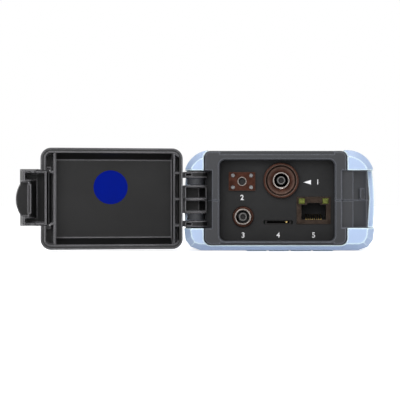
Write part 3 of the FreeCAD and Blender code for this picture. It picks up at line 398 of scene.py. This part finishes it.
def end_tree(tree, geometry, result, material):
    """Realize the instances and set their material."""
    realize = tree.nodes.new("GeometryNodeRealizeInstances")
    paint = tree.nodes.new("GeometryNodeSetMaterial")
    paint.inputs["Material"].default_value = material
    tree.links.new(geometry, realize.inputs["Geometry"])
    tree.links.new(realize.outputs["Geometry"], paint.inputs["Geometry"])
    tree.links.new(paint.outputs["Geometry"], result.inputs["Geometry"])


def run_tree(name, data, tree, values):
    """Mesh that a tree makes from a source mesh, with its inputs set by identifier."""
    helper = worked_object(name, data)
    modifier = helper.modifiers.new("make", "NODES")
    modifier.node_group = tree
    for identifier, value in values.items():
        modifier[identifier] = value
    return evaluated_mesh(helper)


# ---------------------------------------------------------------- threads and screws

def thread_tree(material):
    """Helical ridge: a spiral curve with a three-sided profile."""
    inputs = [("Turns", "NodeSocketFloat"), ("Radius", "NodeSocketFloat"), ("Length", "NodeSocketFloat"),
              ("Ridge", "NodeSocketFloat")]
    tree, source, result, sockets = node_tree("thread", inputs)
    spiral = tree.nodes.new("GeometryNodeCurveSpiral")
    spiral.inputs["Resolution"].default_value = 40
    profile = tree.nodes.new("GeometryNodeCurvePrimitiveCircle")
    profile.inputs["Resolution"].default_value = 6
    sweep = tree.nodes.new("GeometryNodeCurveToMesh")
    sweep.inputs["Fill Caps"].default_value = True
    tree.links.new(source.outputs["Turns"], spiral.inputs["Rotations"])
    tree.links.new(source.outputs["Radius"], spiral.inputs["Start Radius"])
    tree.links.new(source.outputs["Radius"], spiral.inputs["End Radius"])
    tree.links.new(source.outputs["Length"], spiral.inputs["Height"])
    tree.links.new(source.outputs["Ridge"], profile.inputs["Radius"])
    tree.links.new(spiral.outputs["Curve"], sweep.inputs["Curve"])
    tree.links.new(profile.outputs["Curve"], sweep.inputs["Profile Curve"])
    end_tree(tree, sweep.outputs["Mesh"], result, material)
    return tree, sockets


def threaded_barrel(node, bore, wall, panel_y, pitch=0.75, ridge=0.22):
    """Barrel of a fibre adapter: bevelled mouth, thread down to the panel and the keyway."""
    middle, low, high = size_of(node)
    radius = (high.x - low.x) / 2 / MM
    core = radius - ridge
    front, back = low.y / MM, high.y / MM
    profile = [(bore, front + 0.35), (bore + 0.25, front), (core - 0.1, front), (core, front + 0.3),
               (core, panel_y - 0.1), (core, panel_y + 2.0), (core, back), (core - wall, back),
               (core - wall, back - 1.0), (bore, back - 1.0)]
    tube = worked_object("tube", finished(turned_ring(profile, middle.x, middle.z), "tube"))
    key_low = Vector((middle.x - 1.15 * MM, low.y - 1 * MM, low.z - 1 * MM))
    key_high = Vector((middle.x + 1.15 * MM, low.y + 3.2 * MM, middle.z - 1.5 * MM))
    cutter = worked_object("cutter", finished(block(key_low, key_high), "cutter"))
    cut = tube.modifiers.new("keyway", "BOOLEAN")
    cut.operation = "DIFFERENCE"
    cut.object = cutter
    tube_data = evaluated_mesh(tube)
    bpy.data.objects.remove(cutter)
    length = panel_y - front - 1.4
    values = {THREAD_SOCKETS["Turns"]: length / pitch, THREAD_SOCKETS["Radius"]: core * MM,
              THREAD_SOCKETS["Length"]: length * MM, THREAD_SOCKETS["Ridge"]: ridge * MM}
    helix = run_tree("helix", bpy.data.meshes.new("helix"), THREAD, values)
    mesh = bmesh.new()
    mesh.from_mesh(helix)
    for vert in mesh.verts:
        x, y, z = vert.co
        vert.co = (middle.x + x, (front + 1.0) * MM + z, middle.z + y)
    doomed = [face for face in mesh.faces if in_keyway(face.calc_center_median(), middle, low)]
    bmesh.ops.delete(mesh, geom=doomed, context="FACES")
    bmesh.ops.holes_fill(mesh, edges=[edge for edge in mesh.edges if edge.is_boundary])
    bmesh.ops.recalc_face_normals(mesh, faces=mesh.faces)
    mesh.from_mesh(tube_data)
    data = bpy.data.meshes.new(node + "_threaded")
    mesh.to_mesh(data)
    mesh.free()
    return add_piece(node + "_threaded", data, BODY_OF[node], SLOT_OF[node], [node], smooth=30)


def in_keyway(point, middle, low):
    """Whether a point of the thread lies over the keyway."""
    return abs(point.x - middle.x) < 1.2 * MM and point.z < middle.z and point.y < low.y + 3.3 * MM


def block(low, high):
    """Box between two corners."""
    mesh = bmesh.new()
    bmesh.ops.create_cube(mesh, size=1.0)
    for vert in mesh.verts:
        vert.co = Vector([low[k] + (vert.co[k] + 0.5) * (high[k] - low[k]) for k in range(3)])
    return mesh


def screw_tree(material):
    """One screw at every point of the source mesh."""
    tree, source, result, sockets = node_tree("screws", [("Screw", "NodeSocketObject")])
    info = tree.nodes.new("GeometryNodeObjectInfo")
    place = tree.nodes.new("GeometryNodeInstanceOnPoints")
    tree.links.new(source.outputs["Screw"], info.inputs["Object"])
    tree.links.new(source.outputs["Geometry"], place.inputs["Points"])
    tree.links.new(info.outputs["Geometry"], place.inputs["Instance"])
    end_tree(tree, place.outputs["Instances"], result, material)
    return tree, sockets


# Millimetres: head radius, half sizes of an arm of the cross, its floor, centre from the box's edge.
SCREW_RADIUS = 1.0
CROSS_ARM = (0.12, 0.55)
CROSS_FLOOR = 0.18
SCREW_INSET = 1.05


def flange_screws():
    """Four small screws with a cross recess on the power meter port's flange."""
    _, low, high = size_of("opm_screws")
    radius, height = SCREW_RADIUS, (high.y - low.y) / MM
    profile = [(0.001, 0.0), (0.001, -height + 0.08), (0.35, -height), (radius - 0.25, -height),
               (radius, -height + 0.2), (radius, 0.0)]
    head = worked_object("head", finished(turned_ring(profile, 0.0, 0.0, 32), "head"))
    arms = []
    for half_x, half_z in (CROSS_ARM, CROSS_ARM[::-1]):
        reach = Vector((half_x * MM, 0.0, half_z * MM))
        arm = block(-reach - Vector((0, MM, 0)), reach - Vector((0, CROSS_FLOOR * MM, 0)))
        arms.append(worked_object("arm", finished(arm, "arm")))
        cut = head.modifiers.new("cross", "BOOLEAN")
        cut.operation = "DIFFERENCE"
        cut.object = arms[-1]
    screw = worked_object("screw", evaluated_mesh(head))
    for arm in arms:
        bpy.data.objects.remove(arm)
    inset = SCREW_INSET * MM
    points = bpy.data.meshes.new("points")
    corners = [(x, high.y, z)
               for x in (low.x + inset, high.x - inset) for z in (low.z + inset, high.z - inset)]
    points.from_pydata(corners, [], [])
    tree, sockets = screw_tree(MATERIAL["steel"])
    data = run_tree("screws", points, tree, {sockets["Screw"]: screw})
    bpy.data.objects.remove(screw)
    add_piece("opm_cross_screws", data, "housing", "steel", ["opm_screws"], smooth=25)


# ---------------------------------------------------------------- ports

def flange_rings():
    """Turned flange of the test port, with rounded rims."""
    middle, low, high = size_of("otdr_flange")
    outer = (high.x - low.x) / 2 / MM
    front, back = low.y / MM, high.y / MM
    hub = (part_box("otdr_barrel")[1].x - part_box("otdr_barrel")[0].x) / 2 / MM
    profile = [(hub, front + 1.25), (hub + 0.6, front + 1.15), (6.4, front + 1.2), (6.9, front + 0.95),
               (7.1, front + 0.25), (7.35, front), (outer - 0.45, front), (outer - 0.12, front + 0.12),
               (outer, front + 0.45), (outer, back), (hub, back)]
    data = finished(turned_ring(profile, middle.x, middle.z, 96), "otdr_flange_turned")
    add_piece("otdr_flange_turned", data, "housing", "port_metal", ["otdr_flange"], smooth=50)


# Painted shade: a near-black disc sits this far down each sleeve's bore.
BORE_SHADE_DEPTH = (2.2, 2.5)  # millimetres behind the sleeve's mouth


def ferrule(node, bore=1.25):
    """Alignment sleeve with a bevelled mouth, and a near-black disc down its bore as painted shade."""
    middle, low, high = size_of(node)
    outer = (high.x - low.x) / 2 / MM
    front, back = low.y / MM, high.y / MM
    profile = [(bore, front + 0.3), (bore + 0.15, front), (outer - 0.15, front), (outer, front + 0.2),
               (outer, back), (bore, back)]
    data = finished(turned_ring(profile, middle.x, middle.z, 48), node + "_bevelled")
    add_piece(node + "_bevelled", data, "housing", SLOT_OF[node], [node])
    # Painted shade: a near-black disc a little way down the bore stands in for the bore's shadow.
    near, far = front + BORE_SHADE_DEPTH[0], front + BORE_SHADE_DEPTH[1]
    depth = [(0.001, near), (bore - 0.01, near), (bore - 0.01, far), (0.001, far)]
    plug = finished(turned_ring(depth, middle.x, middle.z, 32), node + "_bore_end")
    add_piece(node + "_bore_end", plug, "housing", "insert_black", material=SHADE_BLACK)


def nut_ring():
    """Plain ring nut with rounded edges round the fault locator port."""
    middle, low, high = size_of("vfl_nut")
    outer = (high.x - low.x) / 2 / MM
    hub = (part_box("vfl_barrel")[1].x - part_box("vfl_barrel")[0].x) / 2 / MM
    front, back = low.y / MM, high.y / MM
    profile = [(hub, front), (outer - 0.4, front), (outer, front + 0.4), (outer, back), (hub, back)]
    data = finished(turned_ring(profile, middle.x, middle.z, 72), "vfl_nut_turned")
    add_piece("vfl_nut_turned", data, "housing", "port_metal", ["vfl_nut"], smooth=30)


def light_windows():
    """Domed ends of the two light pipes."""
    low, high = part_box("rj45_lights")
    width = 3.0 * MM
    mesh = bmesh.new()
    for x in (low.x, high.x - width):
        corner = Vector((x, low.y, low.z))
        part = block(corner, Vector((x + width, high.y, high.z)))
        front = [e for e in part.edges if all(v.co.y < low.y + 1e-6 for v in e.verts)]
        bmesh.ops.bevel(part, geom=front, offset=0.5 * MM, segments=3, profile=0.6, affect="EDGES")
        data = bpy.data.meshes.new("window")
        part.to_mesh(data)
        part.free()
        mesh.from_mesh(data)
    data = finished(mesh, "rj45_light_windows")
    add_piece("rj45_light_windows", data, "housing", "light_pipe", ["rj45_lights"])


def card_contact():
    """Spring contact at the right end of the card socket's mouth."""
    middle, low, high = size_of("card_socket")
    reach = 0.35 * MM
    at = Vector((middle.x + (high.x - middle.x) * 0.62, low.y, middle.z))
    spring = block(at - Vector((reach, 0.0, reach)), at + Vector((reach, 0.3 * MM, reach)))
    for vert in spring.verts:
        vert.co.y -= 0.05 * MM
    add_piece("card_contact", finished(spring, "card_contact"), "housing", "gold")


THREAD, THREAD_SOCKETS = thread_tree(MATERIAL["bright_metal"])
PANEL_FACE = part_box("opm_flange")[1].y / MM
threaded_barrel("otdr_barrel", 3.2, 0.6, PANEL_FACE - 1.2)
threaded_barrel("vfl_barrel", 3.1, 0.6, PANEL_FACE - 0.4, pitch=0.6)
flange_rings()
ferrule("otdr_sleeve")
ferrule("vfl_sleeve")
ferrule("opm_sleeve", 1.7)
nut_ring()
flange_screws()
light_windows()
card_contact()


# ---------------------------------------------------------------- printed marks

def text_mesh(words, height):
    """Flat mesh of a numeral, centred on the origin in the XZ plane and facing -Y."""
    curve = bpy.data.curves.new("mark", "FONT")
    curve.body = words
    curve.size = height / 0.72
    curve.align_x = "CENTER"
    curve.align_y = "CENTER"
    curve.extrude = 0.00003
    curve.offset = 0.00005
    helper = worked_object("mark", curve)
    data = evaluated_mesh(helper)
    mesh = bmesh.new()
    mesh.from_mesh(data)
    for vert in mesh.verts:
        x, y, z = vert.co
        vert.co = (x, -z, y)
    return mesh


def joined_mesh(parts, name):
    """One mesh from several bmeshes."""
    whole = bmesh.new()
    for part in parts:
        data = bpy.data.meshes.new("part")
        part.to_mesh(data)
        part.free()
        whole.from_mesh(data)
    return finished(whole, name)


def moved(mesh, x, y, z):
    """The mesh, shifted."""
    bmesh.ops.translate(mesh, verts=mesh.verts, vec=(x, y, z))
    return mesh


def plate(points, thickness):
    """Thin prism over a polygon of X, Z points, from Y 0 towards -Y."""
    mesh = bmesh.new()
    front = [mesh.verts.new((x, -thickness, z)) for x, z in points]
    back = [mesh.verts.new((x, 0.0, z)) for x, z in points]
    mesh.faces.new(front)
    mesh.faces.new(back[::-1])
    for index in range(len(points)):
        after = (index + 1) % len(points)
        mesh.faces.new((front[index], back[index], back[after], front[after]))
    return mesh


NUMERAL_HEIGHT = 2.5  # millimetres


def panel_numerals():
    """Port numbers where a maker would print the ports' names, and a pointer to the test port."""
    ink_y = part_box("opm_flange")[1].y - 0.02 * MM
    height = NUMERAL_HEIGHT * MM
    low_row = size_of("rj45_shield")[1].z - 5.4 * MM
    spots = [
        ("1", size_of("otdr_flange")[2].x + 9.0 * MM, size_of("otdr_flange")[0].z - 0.8 * MM),
        ("2", size_of("opm_flange")[0].x, size_of("opm_flange")[1].z - 3.4 * MM),
        ("3", size_of("vfl_nut")[0].x, low_row),
        ("4", size_of("card_socket")[0].x, low_row),
        ("5", size_of("rj45_shield")[0].x, low_row),
    ]
    parts = [moved(text_mesh(words, height), x, ink_y, z) for words, x, z in spots]
    tip = size_of("otdr_flange")[2].x + 2.2 * MM
    level = size_of("otdr_flange")[0].z - 0.8 * MM
    arrow = [(tip, level), (tip + 3.6 * MM, level - 1.1 * MM), (tip + 3.6 * MM, level + 1.1 * MM)]
    parts.append(moved(plate(arrow, 0.03 * MM), 0.0, ink_y, 0.0))
    add_piece("panel_numerals", joined_mesh(parts, "panel_numerals"), "housing", "port_ceramic",
              material=PANEL_INK, smooth=0)


panel_numerals()


# ---------------------------------------------------------------- keys

DIRECTION_KEYS = ("key_up", "key_down", "key_left", "key_right")
KEY_CORNER, DIRECTION_KEY_CORNER = 0.9, 0.45  # millimetres


def soften(mesh, edges, width, segments):
    """Round off edges, no further than their faces allow."""
    bmesh.ops.bevel(mesh, geom=edges, offset=width, segments=segments, profile=0.5, affect="EDGES",
                    clamp_overlap=True)


def key_cap(node):
    """Silicone key with rounded corners and a soft rim."""
    corner = (DIRECTION_KEY_CORNER if BODY_OF[node] in DIRECTION_KEYS else KEY_CORNER) * MM
    mesh = merged_copy(node)
    top = max(vert.co.z for vert in mesh.verts)
    at_top = {vert for vert in mesh.verts if vert.co.z > top - 1e-6}
    upright = [edge for edge in mesh.edges
               if len(at_top.intersection(edge.verts)) == 1 and len(edge.link_faces) == 2
               and edge.calc_face_angle() > math.radians(20)]
    soften(mesh, upright, corner, 5)
    rim = [edge for edge in mesh.edges
           if all(vert.co.z > top - 1e-6 for vert in edge.verts) and len(edge.link_faces) == 2
           and edge.calc_face_angle() > math.radians(30)]
    soften(mesh, rim, corner * 0.6, 4)
    data = bpy.data.meshes.new(node + "_cap")
    mesh.to_mesh(data)
    mesh.free()
    add_piece(node + "_cap", data, BODY_OF[node], SLOT_OF[node], [node], smooth=40)


for key in [node for node in NODES if node.startswith("key_")]:
    key_cap(key)


# ---------------------------------------------------------------- camera, floor and light

CAMERA_DISTANCE = 0.6
VIEW_WIDTH = 0.188
OPTICAL_CENTRE = Vector((0.85 * MM, 0.0, 25.3 * MM))
FRAME_SHIFT = (-0.2025, -0.005)
FRONT_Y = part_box("front_shell")[0].y


def add_camera():
    """Camera level with the port end, off to one side by a lens shift."""
    lens = bpy.data.cameras.new("camera")
    lens.sensor_width = 36.0
    lens.lens = 36.0 * CAMERA_DISTANCE / VIEW_WIDTH
    lens.shift_x, lens.shift_y = FRAME_SHIFT
    lens.clip_start = 0.01
    camera = bpy.data.objects.new("camera", lens)
    camera.location = (OPTICAL_CENTRE.x, FRONT_Y - CAMERA_DISTANCE, OPTICAL_CENTRE.z)
    camera.rotation_euler = (math.radians(90), 0, 0)
    bpy.context.collection.objects.link(camera)
    bpy.context.scene.camera = camera


def add_lamp(name, place, aim, size, watts):
    """White square area light aimed at a point."""
    light = bpy.data.lights.new(name, "AREA")
    light.size = size
    light.energy = watts
    lamp = bpy.data.objects.new(name, light)
    lamp.location = place
    lamp.rotation_euler = (Vector(aim) - Vector(place)).to_track_quat("-Z", "Y").to_euler()
    bpy.context.collection.objects.link(lamp)


def camera_and_mirror_rays(tree):
    """1 on rays from the camera, in mirrors and through glass; 0 on the rest."""
    path = tree.nodes.new("ShaderNodeLightPath")
    seen = math_node(tree, "MAXIMUM", path.outputs["Is Camera Ray"], path.outputs["Is Transmission Ray"])
    return math_node(tree, "MAXIMUM", seen, path.outputs["Is Glossy Ray"])


def add_world():
    """White surround, with a dimmer cool light on the matt surfaces."""
    world = bpy.data.worlds.new("studio")
    bpy.context.scene.world = world
    world.use_nodes = True
    tree = world.node_tree
    tree.nodes.clear()
    output = tree.nodes.new("ShaderNodeOutputWorld")
    ambient = tree.nodes.new("ShaderNodeBackground")
    ambient.inputs["Color"].default_value = (0.92, 0.95, 1.0, 1.0)
    ambient.inputs["Strength"].default_value = 0.3
    white = tree.nodes.new("ShaderNodeBackground")
    white.inputs["Color"].default_value = (1.0, 1.0, 1.0, 1.0)
    white.inputs["Strength"].default_value = 1.0
    mix = tree.nodes.new("ShaderNodeMixShader")
    tree.links.new(camera_and_mirror_rays(tree), mix.inputs["Fac"])
    tree.links.new(ambient.outputs[0], mix.inputs[1])
    tree.links.new(white.outputs[0], mix.inputs[2])
    tree.links.new(mix.outputs[0], output.inputs["Surface"])


def add_floor():
    """Pale floor that reads white where it is lit and keeps the contact shadow."""
    material, tree, shader = new_material("studio_floor")
    vector = object_coordinates(tree)
    tint = blend_colours(tree, noise(tree, vector, 3.0), (0.84, 0.84, 0.84), (0.86, 0.86, 0.86))
    tree.links.new(tint, shader.inputs["Base Color"])
    shader.inputs["Roughness"].default_value = 0.9
    distance = tree.nodes.new("ShaderNodeVectorMath")
    distance.operation = "LENGTH"
    tree.links.new(vector, distance.inputs[0])
    lift = remap(tree, distance.outputs["Value"], 0.12, 0.4, 0.7, 1.0)
    glow = math_node(tree, "MULTIPLY", camera_and_mirror_rays(tree), lift)
    shader.inputs["Emission Color"].default_value = (1.0, 1.0, 1.0, 1.0)
    tree.links.new(glow, shader.inputs["Emission Strength"])
    mesh = bpy.data.meshes.new("floor")
    reach, level = 3.0, -0.00002
    corners = [(-reach, -reach, level), (reach, -reach, level), (reach, reach, level), (-reach, reach, level)]
    mesh.from_pydata(corners, [], [(0, 1, 2, 3)])
    mesh.materials.append(material)
    floor = bpy.data.objects.new("floor", mesh)
    bpy.context.collection.objects.link(floor)


add_camera()
add_world()
add_floor()
add_lamp("front_softbox", (-0.25, -1.1, 0.55), (0, 0, 0.02), 0.8, 5.0)
add_lamp("right_softbox", (0.9, -0.55, 0.35), (0, -0.05, 0.02), 0.7, 3.0)
add_lamp("top_softbox", (0.0, 0.1, 1.0), (0, 0, 0.02), 0.9, 5.0)
add_lamp("low_fill", (-0.05, -0.75, 0.05), (0, -0.095, 0.03), 0.6, 3.5)

bpy.context.scene.view_settings.view_transform = "Standard"
